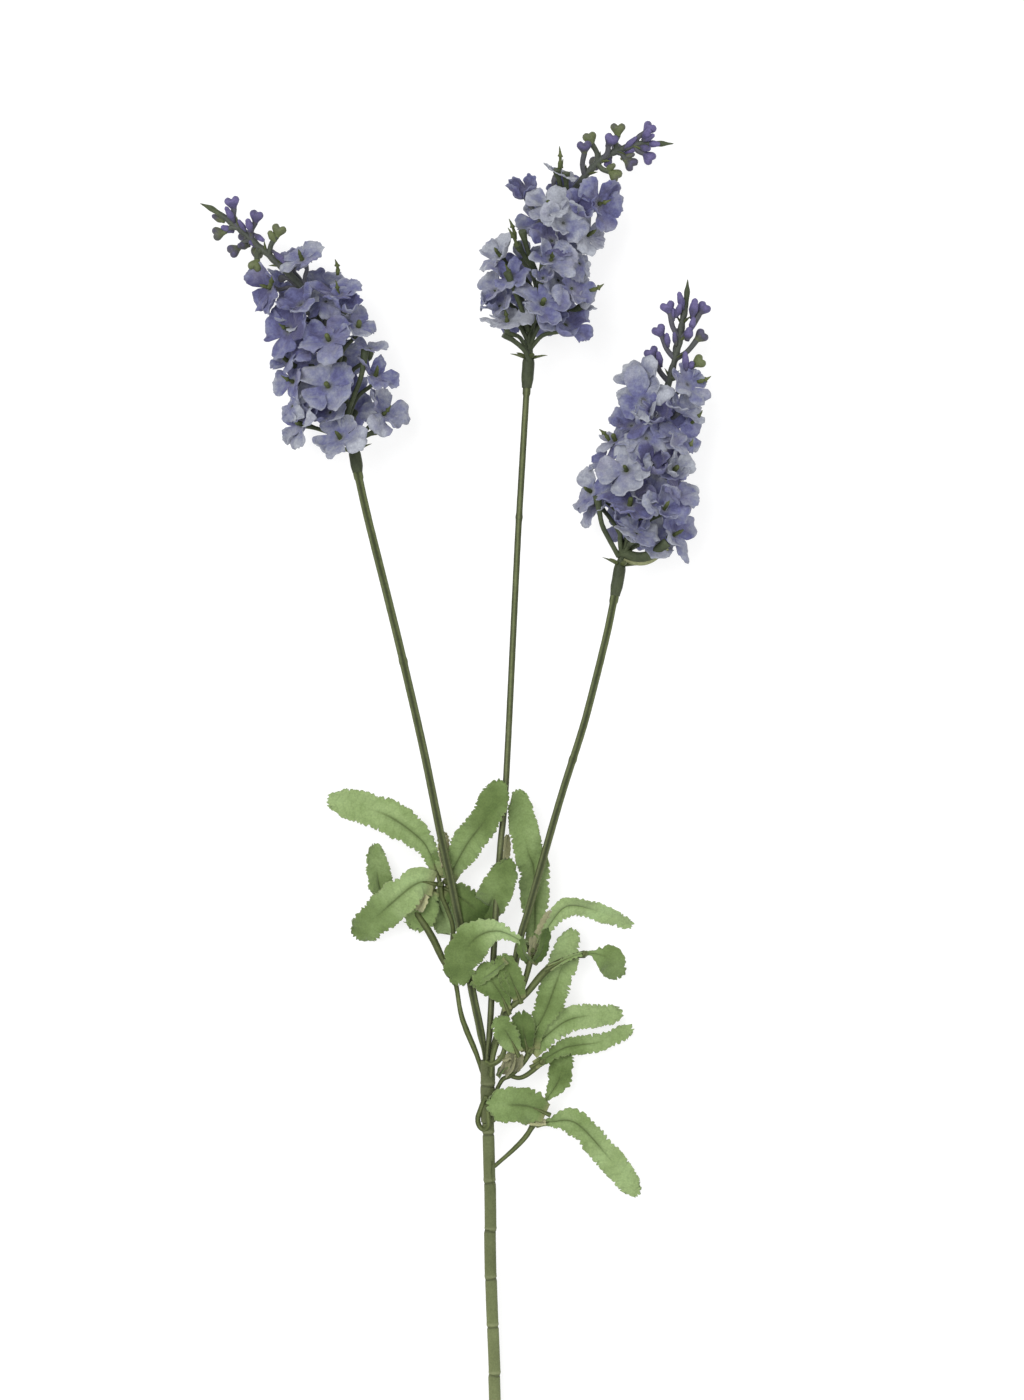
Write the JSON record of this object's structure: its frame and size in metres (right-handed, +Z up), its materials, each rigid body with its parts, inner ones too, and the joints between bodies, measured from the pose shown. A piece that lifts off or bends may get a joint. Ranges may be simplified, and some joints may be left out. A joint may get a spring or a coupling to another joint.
{
  "type": "artificial lavender spray",
  "caption": "Artificial lavender spray lying flat: spikes of fabric florets on moulded green stems and serrated fabric leaves on twigs, joined to one ringed plastic-sleeved wire stem.",
  "frame": {"origin": "centre of the spray's box, on the surface that the spray lies on", "axes": "+Y along the stem from its cut end towards the flowers, +Z up from the surface, +X to the right"},
  "size_m": [0.1928, 0.5448, 0.042],
  "materials": {
    "sleeve_plastic": "matte moulded sleeve with ringed joints",
    "wire": "bare cut wire",
    "stem_plastic": "moulded dark green, satin",
    "spike_plastic": "moulded green with purple tinted buds",
    "floret_fabric": "die-cut lavender blue fabric",
    "leaf_fabric": "printed sage green fabric, serrated edge"
  },
  "bodies": {
    "root": {"bound_wire_end": "stem_plastic", "centre_leaf_twig": "stem_plastic", "junction_sleeve": "sleeve_plastic", "leaf_centre_arching": "leaf_fabric", "leaf_centre_narrow": "leaf_fabric", "leaf_centre_upright": "leaf_fabric", "leaf_fold_left": "leaf_fabric", "leaf_fold_right": "leaf_fabric", "leaf_left_broad": "leaf_fabric", "leaf_left_dark": "leaf_fabric", "leaf_left_drooping": "leaf_fabric", "leaf_left_long": "leaf_fabric", "leaf_left_small": "leaf_fabric", "leaf_left_under": "leaf_fabric", "leaf_left_upper": "leaf_fabric", "leaf_low_across": "leaf_fabric", "leaf_low_drooping": "leaf_fabric", "leaf_low_upright": "leaf_fabric", "leaf_middle_folded": "leaf_fabric", "leaf_on_stalk": "leaf_fabric", "leaf_right_narrow": "leaf_fabric", "leaf_right_tall": "leaf_fabric", "leaf_right_wide": "leaf_fabric", "leaf_small_dark": "leaf_fabric", "leaf_small_light": "leaf_fabric", "left_flower_stem": "stem_plastic", "left_leaf_twig": "stem_plastic", "left_spike_frame": "spike_plastic", "left_whorl_1": "floret_fabric", "left_whorl_2": "floret_fabric", "left_whorl_3": "floret_fabric", "left_whorl_4": "floret_fabric", "left_whorl_5": "floret_fabric", "left_whorl_6": "floret_fabric", "lower_leaf_twig": "stem_plastic", "main_stem_sleeve": "sleeve_plastic", "main_stem_wire": "wire", "middle_flower_stem": "stem_plastic", "middle_spike_frame": "spike_plastic", "middle_whorl_1": "floret_fabric", "middle_whorl_2": "floret_fabric", "middle_whorl_3": "floret_fabric", "middle_whorl_4": "floret_fabric", "middle_whorl_5": "floret_fabric", "right_flower_stem": "stem_plastic", "right_leaf_twig": "stem_plastic", "right_spike_frame": "spike_plastic", "right_whorl_1": "floret_fabric", "right_whorl_2": "floret_fabric", "right_whorl_3": "floret_fabric", "right_whorl_4": "floret_fabric", "right_whorl_5": "floret_fabric"}
  },
  "joints": []
}
